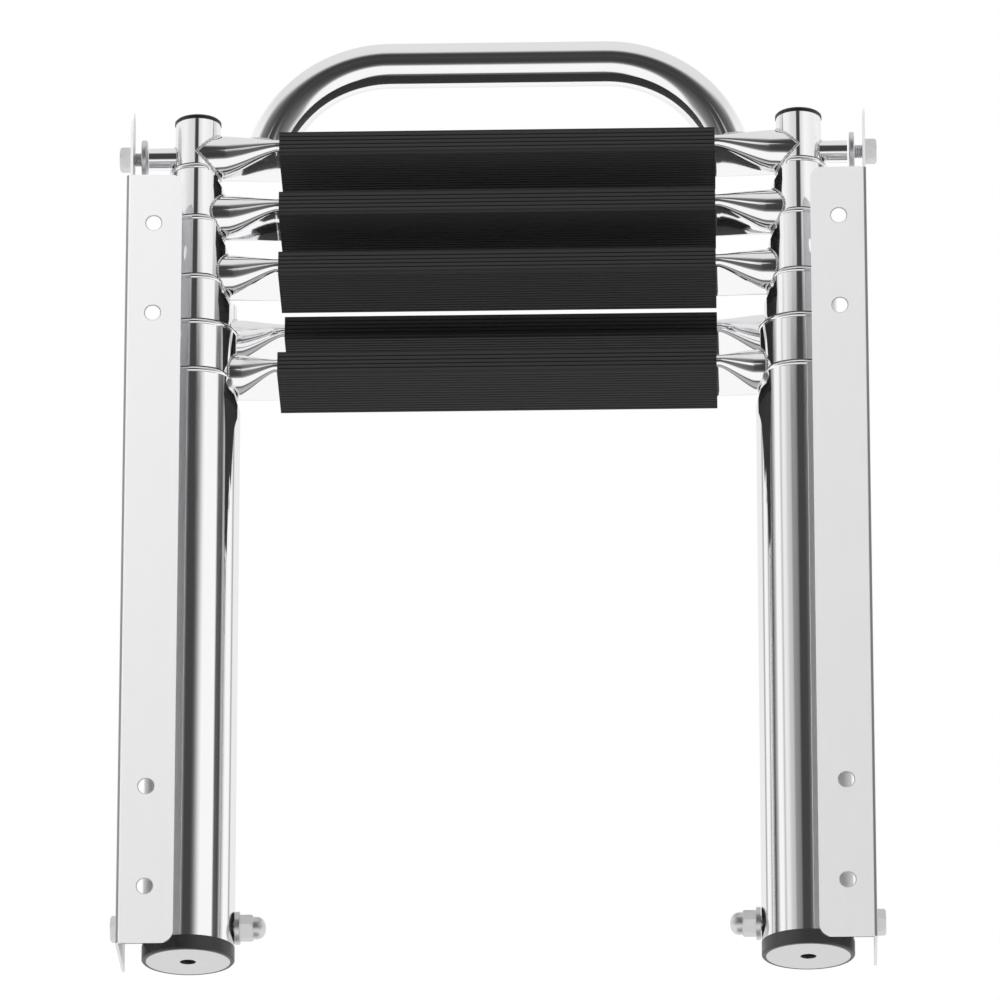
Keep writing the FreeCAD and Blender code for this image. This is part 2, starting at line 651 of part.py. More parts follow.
def main():
    """Write each node in the part's own frame."""
    os.makedirs("parts", exist_ok=True)
    for name, shape in all_nodes().items():
        shape.translate(CENTRE - ORIGIN)
        shape.exportStep("parts/%s.step" % name)


main()
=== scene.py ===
import math

import bmesh
import bpy
from bpy.props import FloatProperty, FloatVectorProperty, IntProperty, PointerProperty
from bpy.types import Operator, Panel, PropertyGroup
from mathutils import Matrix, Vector
from mathutils.bvhtree import BVHTree


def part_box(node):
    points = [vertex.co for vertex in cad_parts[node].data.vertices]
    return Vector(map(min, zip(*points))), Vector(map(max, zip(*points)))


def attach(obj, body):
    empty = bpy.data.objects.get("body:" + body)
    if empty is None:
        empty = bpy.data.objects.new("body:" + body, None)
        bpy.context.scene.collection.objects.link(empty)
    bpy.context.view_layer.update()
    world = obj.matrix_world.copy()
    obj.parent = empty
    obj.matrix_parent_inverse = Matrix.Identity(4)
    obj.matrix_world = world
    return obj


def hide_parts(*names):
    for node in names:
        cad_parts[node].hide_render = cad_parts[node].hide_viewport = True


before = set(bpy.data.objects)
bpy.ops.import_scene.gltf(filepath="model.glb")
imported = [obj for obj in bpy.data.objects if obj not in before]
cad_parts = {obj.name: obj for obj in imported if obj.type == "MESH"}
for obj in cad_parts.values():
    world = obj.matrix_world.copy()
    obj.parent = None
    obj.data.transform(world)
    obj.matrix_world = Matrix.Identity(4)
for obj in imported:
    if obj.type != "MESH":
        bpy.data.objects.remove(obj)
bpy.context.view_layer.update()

bl_info = {
    "name": "Boat Ladder Finish",
    "version": (1, 0, 0),
    "blender": (4, 5, 0),
    "location": "View3D > Sidebar > Ladder",
    "description": "Finishes a telescoping boat ladder and lights it in a plain studio",
    "category": "Object",
}

SECTIONS = (1, 2, 3, 4, 5)
SIDES = (("left", 1.0), ("right", -1.0))
STANDOFF_SECTION = 4
BASE_TUBE = 6

# Sizes of the solids, in metres
SLOT_WIDTH, SLOT_HEIGHT, SLOT_DROP = 0.0383, 0.0083, 0.0016
LOOP_BEND = 0.0705
LOOP_HALF_TOP = 0.06075
BOSS_RADIUS = 0.00635
ARM_RADIUS = 0.010
ARM_DROP = 0.007
POST_RADIUS = 0.0127
PIVOT_FLATS = 0.013
PIVOT_HEAD = 0.0052
PIVOT_SHANK = 0.004
LATCH_FLATS = 0.0124
LATCH_HEAD = 0.0065
LATCH_WASHER = 0.003

# Sizes of small details, in metres
TREAD_EDGE = 0.001
LOOP_RELIEF = 0.0005
NOTCH_EASE = 0.004
NUT_HEX = 0.0076
NUT_CHAMFER = 0.0012
HEAD_CHAMFER = 0.0010
BOLT_PLAY = 0.0002
THREAD_CREST = 0.0039
THREAD_ROOT = 0.0034
WASHER_RADIUS = 0.011
WASHER_EDGE = 0.0005
# Dome of the pivot nut: distance from the nut's face, radius
NUT_DOME = ((0.0076, 0.0061), (0.0095, 0.0062), (0.0112, 0.0058), (0.0126, 0.0048),
            (0.0136, 0.0033), (0.0141, 0.0015), (0.0142, 0.0003))
# One rib of a tread: share of the pitch, share of the groove's depth
RIB = ((0.05, 1.0), (0.10, 0.35), (0.16, 0.07), (0.23, 0.0), (0.77, 0.0), (0.84, 0.07),
       (0.90, 0.35), (0.95, 1.0))

# Counts and shares
THREADS = 5
LOOP_STEPS = 24
FLARE_STEPS = 20
HALF_RING_STEPS = 24
RIM_STEPS = 360
HOLE_STEPS = 64
BEAD_STEPS = 96
HEX_STEPS = 36
FLARE_EASE = 0.35
RIPPLE_DEPTH = 0.25
BOSS_BEAD, ARM_BEAD, LOOP_BEAD = 0.7, 0.8, 1.3


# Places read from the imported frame

def box_middle(node):
    """Middle of a node's box."""
    low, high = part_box(node)
    return (Vector(low) + Vector(high)) / 2.0


def tube_place(side, number):
    """Axis of a tube, its radius and the height of its rim."""
    node = "%s_tube_%d" % (side, number)
    low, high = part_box(node)
    middle = box_middle(node)
    return Vector((middle.x, middle.y, 0.0)), (high[0] - low[0]) / 2.0, high[2]


def rung_axis(number):
    """Middle point of a rung's axis."""
    return box_middle("rung_%d" % number)


def body_of_section(number):
    """Name of the body that a tube rides on."""
    return "base_tubes" if number == BASE_TUBE else "section_%d" % number


# Node-building helpers

def wire(tree, *joins):
    """Links sockets: each join is a node, its output, the next node and its input."""
    for source, output, target, entry in joins:
        tree.links.new(source.outputs[output], target.inputs[entry])



def place(tree, kind, x, y, **values):
    """Adds a shader node, or a group's input or output, at a place and with attributes set."""
    node = tree.nodes.new(kind if kind.startswith("Node") else "ShaderNode" + kind)
    node.location = (x, y)
    for name, value in values.items():
        setattr(node, name, value)
    return node


def mix(tree, x, y, blend_type="MIX"):
    """Colour mix node."""
    return place(tree, "Mix", x, y, data_type="RGBA", blend_type=blend_type)


def grey_ramp(tree, x, y, stops, span=1.0, middle=0.0):
    """Ramp of grey stops; the place of a stop is its value over the span, plus the middle."""
    ramp = place(tree, "ValToRGB", x, y)
    elements = ramp.color_ramp.elements
    while len(elements) > 1:
        elements.remove(elements[-1])
    for index, (value, grey) in enumerate(stops):
        position = value / span + middle
        element = elements.new(position) if index else elements[0]
        element.position = position
        element.color = (grey, grey, grey, 1.0)
    return ramp


def new_group(name, inputs, outputs):
    """Empty shader group with its sockets."""
    group = bpy.data.node_groups.new(name, "ShaderNodeTree")
    for way, sockets in (("INPUT", inputs), ("OUTPUT", outputs)):
        for socket in sockets:
            group.interface.new_socket(name=socket, in_out=way, socket_type="NodeSocketFloat")
    return group


def stretched_noise(group, scales, detail):
    """Noise in a group, stretched by the inputs that are named for the three axes."""
    start = place(group, "NodeGroupInput", -900, 0)
    coord = place(group, "TexCoord", -900, 300)
    scale = place(group, "CombineXYZ", -700, 0)
    stretch = place(group, "VectorMath", -500, 150, operation="MULTIPLY")
    noise = place(group, "TexNoise", -300, 150)
    noise.inputs["Scale"].default_value = 1.0
    noise.inputs["Detail"].default_value = detail
    for axis, name in zip("XYZ", scales):
        wire(group, (start, name, scale, axis))
    wire(group, (coord, "Object", stretch, 0), (scale, "Vector", stretch, 1),
         (stretch, "Vector", noise, "Vector"))
    return start, noise


def build_grain_group():
    """Shader group: fine grain with a stretch along each axis, for roughness and height."""
    scales = ("Scale X", "Scale Y", "Scale Z")
    group = new_group("surface_grain", scales + ("Low", "High"), ("Value", "Height"))
    start, noise = stretched_noise(group, scales, 3.0)
    end = place(group, "NodeGroupOutput", 500, 0)
    spread = place(group, "MapRange", -50, 50)
    spread.inputs["From Min"].default_value = 0.3
    spread.inputs["From Max"].default_value = 0.7
    wire(group, (noise, "Fac", spread, "Value"), (start, "Low", spread, "To Min"),
         (start, "High", spread, "To Max"), (spread, "Result", end, "Value"),
         (noise, "Fac", end, "Height"))
    return group


def build_waviness_group():
    """Shader group: the slow waves of a polished sheet or tube, as a height."""
    group = new_group("sheet_waviness", ("Along", "Across"), ("Height",))
    start, noise = stretched_noise(group, ("Across", "Across", "Along"), 0.0)
    end = place(group, "NodeGroupOutput", 300, 0)
    wire(group, (noise, "Fac", end, "Height"))
    return group


def shader_group(name):
    """One of the shared shader groups, built once."""
    builders = {"surface_grain": build_grain_group, "sheet_waviness": build_waviness_group}
    return bpy.data.node_groups.get(name) or builders[name]()


def add_group(tree, name, x, y, **values):
    """Places a shared group in a material with its own values."""
    node = place(tree, "Group", x, y)
    node.node_tree = shader_group(name)
    for key, value in values.items():
        node.inputs[key.replace("_", " ")].default_value = value
    return node


def new_material(name):
    """Fresh material and its Principled shader."""
    material = bpy.data.materials.new(name)
    material.use_nodes = True
    return material, material.node_tree, material.node_tree.nodes["Principled BSDF"]


def add_grain(tree, shader, grain, low, high):
    """Grain in a material's roughness, between a low and a high value."""
    marks = add_group(tree, "surface_grain", -600, 100, Scale_X=grain[0], Scale_Y=grain[1],
                      Scale_Z=grain[2], Low=low, High=high)
    wire(tree, (marks, "Value", shader, "Roughness"))
    return marks


def add_bump(tree, shader, source, distance):
    """Relief in a material's surface, from a group that gives a height."""
    bump = place(tree, "Bump", -300, -250)
    bump.inputs["Strength"].default_value = 1.0
    bump.inputs["Distance"].default_value = distance
    wire(tree, (source, "Height", bump, "Height"), (bump, "Normal", shader, "Normal"))


def metal(name, color, low, high, grain, wave_height, wave=(14.0, 20.0), metallic=1.0):
    """Polished or brushed steel with fine grain in its roughness and slow waves in its surface."""
    material, tree, shader = new_material(name)
    shader.inputs["Base Color"].default_value = (*color, 1.0)
    shader.inputs["Metallic"].default_value = metallic
    add_grain(tree, shader, grain, low, high)
    waves = add_group(tree, "sheet_waviness", -600, -250, Along=wave[0], Across=wave[1])
    add_bump(tree, shader, waves, wave_height)
    return material


# Painted dark reflection on the satin sheet: its base colour is darkened by how far its surface
# turns sideways, so the bends come out darker than the flats
PAINTED_BEND_REFLECTION = ((0.0, 1.0), (0.25, 1.0), (0.40, 0.25), (0.90, 0.25), (0.985, 1.0), (1.0, 1.0))


def satin_sheet(name, settings):
    """Satin steel sheet with a painted dark reflection on its bends, which come out darker than
    its flats.
    """
    material = metal(name, settings.steel_color, settings.rail_satin - 0.03,
                     settings.rail_satin + 0.05, (300.0, 300.0, 30.0), settings.rail_wave,
                     (5.0, 9.0), settings.rail_metal)
    tree = material.node_tree
    facing = place(tree, "NewGeometry", -1100, 500)
    parts = place(tree, "SeparateXYZ", -900, 500)
    sideways = place(tree, "Math", -700, 500, operation="ABSOLUTE")
    bend = grey_ramp(tree, -500, 500, PAINTED_BEND_REFLECTION)
    # Painted reflection: the base colour is multiplied down on the bends
    bend_reflection_paint = mix(tree, -200, 500, "MULTIPLY")
    bend_reflection_paint.inputs["Factor"].default_value = 1.0
    bend_reflection_paint.inputs["A"].default_value = (*settings.steel_color, 1.0)
    wire(tree, (facing, "Normal", parts, "Vector"), (parts, "X", sideways, 0),
         (sideways, "Value", bend, "Fac"), (bend, "Color", bend_reflection_paint, "B"),
         (bend_reflection_paint, "Result", tree.nodes["Principled BSDF"], "Base Color"))
    return material


def moulded(name, color, low, high, grain, grain_height, specular=0.5):
    """Moulded rubber or plastic with grain in its roughness and surface."""
    material, tree, shader = new_material(name)
    shader.inputs["Base Color"].default_value = (*color, 1.0)
    shader.inputs["Specular IOR Level"].default_value = specular
    add_bump(tree, shader, add_grain(tree, shader, grain, low, high), grain_height)
    return material


# Grain: marks for each metre along x, y and z
ROUND_GRAIN = (900.0, 900.0, 900.0)
BOLT_GRAIN = (700.0, 700.0, 700.0)
DRAWN_GRAIN = (900.0, 900.0, 40.0)
RIBBED_GRAIN = (24.0, 900.0, 900.0)
MOULD_GRAIN = (500.0, 500.0, 500.0)

FINISH_MAKERS = {
    "tube_polish": lambda s: metal("tube_polish", s.steel_color, s.polish, s.polish + 0.04,
                                   DRAWN_GRAIN, 0.00008, (9.0, 30.0)),
    "rail_satin": lambda s: satin_sheet("rail_satin", s),
    "bolt_steel": lambda s: metal("bolt_steel", s.bolt_color, 0.07, 0.15, BOLT_GRAIN, 0.00002),
    "disc_steel": lambda s: metal("disc_steel", s.bolt_color, 0.28, 0.40, ROUND_GRAIN, 0.00002),
    "weld_steel": lambda s: metal("weld_steel", s.bolt_color, 0.14, 0.30, ROUND_GRAIN, 0.00004),
    "tread_rubber": lambda s: moulded("tread_rubber", s.tread_color, 0.05, 0.11, RIBBED_GRAIN,
                                      0.000006, 0.85),
    "cap_rubber": lambda s: moulded("cap_rubber", s.tread_color, 0.30, 0.42, MOULD_GRAIN, 0.00003),
    "band_plastic": lambda s: moulded("band_plastic", s.band_color, 0.28, 0.40, MOULD_GRAIN,
                                      0.00003),
}


def finish(name):
    """A finish's material, made once from the finish settings."""
    return bpy.data.materials.get(name) or FINISH_MAKERS[name](bpy.context.scene.ladder_finish)


# Mesh-building helpers

def make_piece(name, bm, finish_name, slot, body, smooth_angle=40.0):
    """Turns a bmesh into a piece with a finish and a body to ride on; its slot argument is not
    used.
    """
    mesh = bpy.data.meshes.new(name)
    bmesh.ops.recalc_face_normals(bm, faces=bm.faces)
    bm.to_mesh(mesh)
    bm.free()
    mesh.materials.append(finish(finish_name))
    piece = bpy.data.objects.new(name, mesh)
    bpy.context.scene.collection.objects.link(piece)
    mesh.shade_smooth()
    mesh.set_sharp_from_angle(angle=math.radians(smooth_angle))
    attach(piece, body)
    return piece


def round_offsets(first, second, sides, start=0.0):
    """Directions round a circle in the plane of two directions."""
    angles = [start + 2.0 * math.pi * step / sides for step in range(sides)]
    return [first * math.cos(angle) + second * math.sin(angle) for angle in angles]


def round_path(steps, point):
    """Points of a closed line, each made from the cosine and the sine of its angle."""
    angles = [2.0 * math.pi * step / steps for step in range(steps)]
    return [point(math.cos(angle), math.sin(angle)) for angle in angles]


def square_to(axis):
    """A direction square to an axis."""
    guide = Vector((0.0, 0.0, 1.0)) if abs(axis.z) < 0.9 else Vector((0.0, 1.0, 0.0))
    return axis.cross(guide).normalized()


def bridge(bm, here, there, shift=0):
    """Faces between two rings, the second turned by some points."""
    count = len(here)
    for step in range(count):
        after = (step + 1) % count
        bm.faces.new((here[step], here[after], there[(after + shift) % count],
                      there[(step + shift) % count]))


def bridge_all(bm, rings, capped=True):
    """Faces along a row of rings, with flat faces over both ends."""
    for here, there in zip(rings, rings[1:]):
        bridge(bm, here, there)
    if capped:
        cap_ends(bm, rings)


def cap_ends(bm, rings):
    """Flat faces over the first and the last ring."""
    bm.faces.new(rings[0])
    bm.faces.new(list(reversed(rings[-1])))


def sweep(bm, path, radii, sides=10, closed=True):
    """Round bar along a path of points, with a radius at each point."""
    count = len(path)
    rings = []
    for index, point in enumerate(path):
        before = path[index - 1] if closed or index else point
        after = path[(index + 1) % count] if closed or index < count - 1 else point
        along = (after - before).normalized()
        first = square_to(along)
        offsets = round_offsets(first, first.cross(along).normalized(), sides)
        rings.append([bm.verts.new(point + offset * radii[index]) for offset in offsets])
    for index in range(count if closed else count - 1):
        here = rings[index]
        there = rings[(index + 1) % count]
        bridge(bm, here, there, closest_turn(here, there))
    if not closed:
        cap_ends(bm, rings)


def closest_turn(here, there):
    """How far to turn the second ring so that it lines up with the first."""
    return min(range(len(there)), key=lambda turn: (there[turn].co - here[0].co).length)


def turned(bm, profile, centre, axis, sides=48):
    """Turned part: a profile of (distance along the axis, radius) pairs spun round it."""
    first = square_to(axis)
    offsets = round_offsets(first, axis.cross(first).normalized(), sides)
    bridge_all(bm, [[bm.verts.new(centre + axis * along + offset * radius)
                     for offset in offsets] for along, radius in profile])


def hex_prism(bm, flats, centre, axis, length, chamfer):
    """Bolt head or nut: a hexagon along an axis with turned-down corners at its outer end."""
    first = Vector((0.0, 0.0, 1.0))
    inner = flats / 2.0
    sector = math.pi / 3.0
    offsets = round_offsets(first, axis.cross(first).normalized(), HEX_STEPS, sector / 2.0)
    wedges = [2.0 * math.pi * step / HEX_STEPS % sector - sector / 2.0
              for step in range(HEX_STEPS)]
    rings = []
    for along, limit in ((0.0, flats), (length - chamfer, flats),
                         (length - chamfer * 0.4, inner * 1.06), (length, inner * 0.94)):
        rings.append([bm.verts.new(centre + axis * along
                                   + offset * min(inner / math.cos(wedge), limit))
                      for offset, wedge in zip(offsets, wedges)])
    bridge_all(bm, rings)


# Settings

def metres(name, text, default, low, high):
    """Setting for a length in metres."""
    return FloatProperty(name=name, description=text, default=default, min=low, max=high,
                         subtype="DISTANCE")


def degrees(name, text, default, low, high):
    """Setting for an angle, with its default in degrees."""
    return FloatProperty(name=name, description=text, default=math.radians(default), min=low,
                         max=high, subtype="ANGLE")


def plain(name, text, default, low, high):
    """Setting for a plain number."""
    return FloatProperty(name=name, description=text, default=default, min=low, max=high)


def shade(name, text, default):
    """Setting for a colour."""
    return FloatVectorProperty(name=name, description=text, default=default, min=0.0, max=1.0,
                               size=3, subtype="COLOR")


class LadderFinishSettings(PropertyGroup):
    """Colours and polish of the ladder's materials"""
    steel_color: shade("Steel", "Colour of the polished steel", (0.93, 0.93, 0.94))
    bolt_color: shade("Bolts", "Colour of bolts, nuts and welds", (0.74, 0.73, 0.74))
    tread_color: shade("Treads", "Colour of the rubber treads", (0.004, 0.004, 0.0045))
    band_color: shade("Bands", "Colour of the plastic rings", (0.03, 0.03, 0.032))
    polish: plain("Polish", "Roughness of the polished tubes", 0.045, 0.0, 0.5)
    rail_wave: metres("Rail wave", "Depth of the rail sheet's waves", 0.0008, 0.0, 0.01)
    rail_satin: plain("Rail satin", "Roughness of the rail sheet", 0.45, 0.0, 0.8)
    rail_metal: plain("Rail metal", "How mirror-like the rail sheet is", 0.40, 0.0, 1.0)


class LadderTreadSettings(PropertyGroup):
    """Shape of the rubber treads"""
    depth: metres("Depth", "Front to back over the ribs", 0.045, 0.02, 0.1)
    thickness: metres("Thickness", "Across the tread's thickness", 0.0146, 0.008, 0.04)
    tilt: degrees("Tilt", "How far the rear edge leans down", 9.5, 0.0, 0.5)
    drop: metres("Drop", "Tread middle below the rung's axis", 0.0032, 0.0, 0.02)
    rib_rise: metres("Rib rise", "Depth of the grooves between ribs", 0.0008, 0.0, 0.003)
    front_ribs: IntProperty(name="Front ribs", description="Ribs on the front face", default=5,
                            min=2, max=12)
    step_ribs: IntProperty(name="Step ribs", description="Ribs on the face that is stepped on",
                           default=16, min=4, max=40)


class LadderRailSettings(PropertyGroup):
    """Places of the screw holes in the rails"""
    flange: metres("Flange", "Width of a rail's front flange", 0.0313, 0.01, 0.1)
    hole_radius: metres("Hole radius", "Radius of a screw hole", 0.00475, 0.001, 0.02)
    holes_up: FloatVectorProperty(name="Holes up", description="Heights of the holes", size=4,
                                  subtype="TRANSLATION", default=(0.032, 0.089, 0.3655, 0.419))
    edge: metres("Edge", "Radius of a hole's rounded edge", 0.0005, 0.0001, 0.002)


class LadderRungSettings(PropertyGroup):
    """Shape of the pressed rungs"""
    diameter: metres("Diameter", "Across a rung's round ends", 0.0254, 0.01, 0.05)
    flat_width: metres("Flat width", "Front to back over the flat", 0.038, 0.02, 0.08)
    flat_thickness: metres("Flat thickness", "Across the flat", 0.008, 0.003, 0.02)
    flat_drop: metres("Flat drop", "Flat's middle below the axis", 0.0016, 0.0, 0.01)
    flat_past_tread: metres("Flat past tread", "Flat beyond the tread", 0.002, 0.0, 0.02)
    round_past_tube: metres("Round past tube", "Round past the upright", 0.00304, 0.0, 0.02)
    sink: metres("Sink", "How far the ends reach into the upright", 0.0003, 0.0, 0.001)


class LadderWeldSettings(PropertyGroup):
    """Size of the weld beads and of the rims' notches"""
    bead: metres("Bead", "Radius of a weld bead", 0.0010, 0.0002, 0.004)
    lip: metres("Rim lip", "Radius of a rim's rolled lip", 0.0016, 0.0002, 0.002)
    # The next three settings shape a dark ring over the guide bushing's collar, raised above the
    # rim as painted shade and dark reflection
    shade_ring: metres("Rim seal", "Radius of a rim's dark seal", 0.0006, 0.0002, 0.002)
    shade_ring_inset: metres("Seal inset", "Seal's line inside the tube", 0.0015, 0.0, 0.005)
    shade_ring_rise: metres("Seal rise", "Seal's line above the rim", 0.0012, 0.0, 0.003)
    notch_side_gap: metres("Notch side gap", "Room beside a rung", 0.0008, 0.0, 0.005)
    notch_gap: metres("Notch gap", "Room under a rung", 0.008, 0.0, 0.02)
    shoulder_share: plain("Shoulder", "Rounded share of a notch's side", 0.6, 0.1, 0.9)


class LadderStudioSettings(PropertyGroup):
    """Camera, floor and surroundings"""
    azimuth: degrees("Azimuth", "Camera's turn round the ladder", 1.8, -3.2, 3.2)
    elevation: degrees("Elevation", "Camera's height angle", -20.0, -1.5, 1.5)
    distance: metres("Distance", "Camera's distance", 5.0, 1.0, 20.0)
    view_height: metres("View height", "Height of the picture", 0.5545, 0.1, 5.0)
    aim: FloatVectorProperty(name="Aim", description="Point that the camera looks at", size=3,
                             subtype="TRANSLATION", default=(0.19179, 0.03702, 0.0420))
    floor_drop: metres("Floor", "Height of the floor", -2.6, -5.0, 0.0)


# Pieces

def rib_run(start, step, length, ribs, rise, inward):
    """Points along a ribbed face: round-topped ribs with a groove between each pair."""
    pitch = length / ribs
    return [start + step * (rib * pitch + share * pitch) + inward * (deep * rise)
            for rib in range(ribs) for share, deep in RIB]


def tread_outline(sizes):
    """Outline of a tread across its length, in (depth, height) pairs."""
    y = sizes.depth / 2.0
    z = sizes.thickness / 2.0
    edge = TREAD_EDGE
    ease = edge * 0.3
    tall = 2 * z - 2 * edge
    right = Vector((1.0, 0.0))
    up = Vector((0.0, 1.0))
    points = [Vector((edge - y, z)), Vector((-y + ease, z - ease))]
    points += rib_run(Vector((-y, z - edge)), -up, tall, sizes.front_ribs, sizes.rib_rise, right)
    points += rib_run(Vector((edge - y, -z)), right, 2 * y - 2 * edge, sizes.step_ribs,
                      sizes.rib_rise, up)
    points += rib_run(Vector((y, edge - z)), up, tall, sizes.front_ribs, sizes.rib_rise, -right)
    points += [Vector((y - ease, z - ease)), Vector((y - edge, z))]
    return points


def slot_outline():
    """Outline of the opening that the rung's flat fills."""
    radius = SLOT_HEIGHT / 2.0
    reach = SLOT_WIDTH / 2.0 - radius
    points = []
    for centre, start in ((reach, -90), (-reach, 90)):
        for turn in range(0, 181, 15):
            angle = math.radians(start + turn)
            points.append(Vector((centre + radius * math.cos(angle),
                                  SLOT_DROP + radius * math.sin(angle))))
    return points


class LADDER_OT_treads(Operator):
    """Builds the ribbed rubber treads in place of the plain sleeves"""
    bl_idname = "ladder.treads"
    bl_label = "Build treads"

    def execute(self, context):
        sizes = context.scene.ladder_tread
        for number in SECTIONS:
            self.build_one(sizes, number)
        return {"FINISHED"}

    def build_one(self, sizes, number):
        """One tread, with the opening for its rung."""
        node = "tread_%d" % number
        low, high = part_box(node)
        axis = rung_axis(number)
        middle = Vector((axis.y, axis.z - sizes.drop))
        bm = bmesh.new()
        for loop in (tread_outline(sizes), slot_outline()):
            bridge(bm, *[self.ring(bm, loop, middle, x, sizes.tilt)
                         for x in (low[0], high[0])])
        bm.edges.ensure_lookup_table()
        for x in (low[0], high[0]):
            edges = [e for e in bm.edges if all(abs(v.co.x - x) < 1e-7 for v in e.verts)]
            bmesh.ops.triangle_fill(bm, edges=edges, use_beauty=True)
        piece = make_piece("ribbed_" + node, bm, "tread_rubber", "tread_rubber",
                           body_of_section(number), 35.0)
        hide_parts(node)
        if number == 1:
            relieve_for_loop(piece)

    def ring(self, bm, loop, middle, x, tilt):
        """One end's ring of points, leaning with the step."""
        points = []
        for point in loop:
            y = point.x * math.cos(tilt) + point.y * math.sin(tilt)
            z = -point.x * math.sin(tilt) + point.y * math.cos(tilt)
            points.append(bm.verts.new((x, middle.x + y, middle.y + z)))
        return points


def loop_path():
    """Middle line of the hand loop's left half, from its straight top down to rung 1."""
    low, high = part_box("hand_loop")
    radius = (high[1] - low[1]) / 2.0
    top = high[2] - radius
    start_x = (low[0] + high[0]) / 2.0 - LOOP_HALF_TOP
    y = (low[1] + high[1]) / 2.0
    end = math.acos(1.0 - (top - rung_axis(1).z) / LOOP_BEND)
    points = []
    for step in range(LOOP_STEPS + 1):
        angle = end * step / LOOP_STEPS
        points.append(Vector((start_x - LOOP_BEND * math.sin(angle), y,
                              top - LOOP_BEND + LOOP_BEND * math.cos(angle))))
    return points, radius


def mirrored(points):
    """The same points on the other side of the ladder."""
    middle_x = rung_axis(1).x
    return [Vector((2 * middle_x - p.x, p.y, p.z)) for p in points]


def relieve_for_loop(piece):
    """Cuts the top tread clear of the hand loop's two legs."""
    points, radius = loop_path()
    leg = points[LOOP_STEPS // 3:]
    cutters = []
    for path in (leg, mirrored(leg)):
        bm = bmesh.new()
        sweep(bm, path, [radius + LOOP_RELIEF] * len(path), sides=48, closed=False)
        bmesh.ops.recalc_face_normals(bm, faces=bm.faces)
        mesh = bpy.data.meshes.new("leg_cutter")
        bm.to_mesh(mesh)
        bm.free()
        cutter = bpy.data.objects.new("leg_cutter", mesh)
        bpy.context.scene.collection.objects.link(cutter)
        modifier = piece.modifiers.new("relief", "BOOLEAN")
        modifier.operation = "DIFFERENCE"
        modifier.solver = "EXACT"
        modifier.object = cutter
        cutters.append(cutter)
    bpy.context.view_layer.update()
    graph = bpy.context.evaluated_depsgraph_get()
    cut = bpy.data.meshes.new_from_object(piece.evaluated_get(graph))
    piece.modifiers.clear()
    piece.data = cut
    for cutter in cutters:
        bpy.data.objects.remove(cutter)


class LADDER_OT_metalwork(Operator):
    """Gives the tubes, rungs, rails and caps their finishes"""
    bl_idname = "ladder.metalwork"
    bl_label = "Finish metalwork"

    def execute(self, context):
        finishes = {
            "tube_polish": ("tube", "rung", "hand_loop", "stand_off", "latch_boss"),
            "rail_satin": ("rail",),
            "bolt_steel": ("pivot_bolt", "pivot_nut", "pivot_washer", "latch_bolt"),
            "disc_steel": ("end_disc",),
            "band_plastic": ("end_cap", "pivot_spacer", "guide_bushings"),
            "cap_rubber": ("top_cap",),
        }
        for name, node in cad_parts.items():
            for finish_name, keys in finishes.items():
                if any(key in name for key in keys):
                    node.data.materials.clear()
                    node.data.materials.append(finish(finish_name))
        return {"FINISHED"}


def flat_share(way):
    """Share of flatness part way along a flare: nearly straight, a little eased at both ends."""
    eased = way * way * (3.0 - 2.0 * way)
    return (1.0 - FLARE_EASE) * way + FLARE_EASE * eased


def rung_carrier(side, number):
    """Middle and radius of the upright that carries one end of a rung."""
    if number == STANDOFF_SECTION:
        low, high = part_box("%s_stand_off" % side)
        return (low[0] + high[0]) / 2.0, (high[0] - low[0]) / 2.0
    axis, radius, rim = tube_place(side, number)
    return axis.x, radius


class LADDER_OT_rungs(Operator):
    """Presses the rungs: round ends, smooth flares and a long flat for the tread"""
    bl_idname = "ladder.rungs"
    bl_label = "Press rungs"

    def execute(self, context):
        for number in SECTIONS:
            self.press(context.scene.ladder_rung, number)
        return {"FINISHED"}

    def press(self, sizes, number):
        """One rung, fitted to the uprights at both ends."""
        middle = rung_axis(number)
        low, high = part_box("tread_%d" % number)
        flat_x = (high[0] - low[0]) / 2.0 + sizes.flat_past_tread
        carrier_x, carrier_radius = rung_carrier("right", number)
        end_x = abs(carrier_x - middle.x)
        round_x = end_x - carrier_radius - sizes.round_past_tube
        half = [(end_x, 0.0), (round_x, 0.0)]
        for step in range(1, FLARE_STEPS + 1):
            half.append((round_x + (flat_x - round_x) * step / FLARE_STEPS,
                         flat_share(step / FLARE_STEPS)))
        bm = bmesh.new()
        rings = []
        for way, stations in ((-1.0, half), (1.0, list(reversed(half)))):
            for distance, share in stations:
                rings.append(self.ring(bm, sizes, middle, way * distance, share))
        for ring, way in ((rings[0], -1.0), (rings[-1], 1.0)):
            for vert in ring:
                reach = math.sqrt(carrier_radius ** 2 - (vert.co.y - middle.y) ** 2)
                vert.co.x = middle.x + way * (end_x - reach + sizes.sink)
        bridge_all(bm, rings, capped=False)
        for ring in (rings[0], rings[-1]):
            hub = bm.verts.new(sum((vert.co for vert in ring), Vector()) / len(ring))
            for index in range(len(ring)):
                bm.faces.new((ring[index], ring[(index + 1) % len(ring)], hub))
        piece = make_piece("pressed_rung_%d" % number, bm, "tube_polish", "polished_steel",
                           body_of_section(number))
        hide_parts("rung_%d" % number)

    def ring(self, bm, sizes, middle, distance, share):
        """Section at one place: a circle that flattens into a slot as the share grows."""
        radius = sizes.diameter / 2.0 + (sizes.flat_thickness - sizes.diameter) / 2.0 * share
        reach = (sizes.flat_width - sizes.flat_thickness) / 2.0 * share
        tilt = bpy.context.scene.ladder_tread.tilt
        ring = []
        for way in (1.0, -1.0):
            for step in range(HALF_RING_STEPS):
                angle = math.pi * ((step + 0.5) / HALF_RING_STEPS - 0.5)
                y = way * (reach + radius * math.cos(angle))
                z = way * radius * math.sin(angle)
                lean_y = y * math.cos(tilt) + z * math.sin(tilt)
                lean_z = z * math.cos(tilt) - y * math.sin(tilt) - sizes.flat_drop * share
                ring.append(bm.verts.new(middle + Vector((distance, lean_y, lean_z))))
        return ring


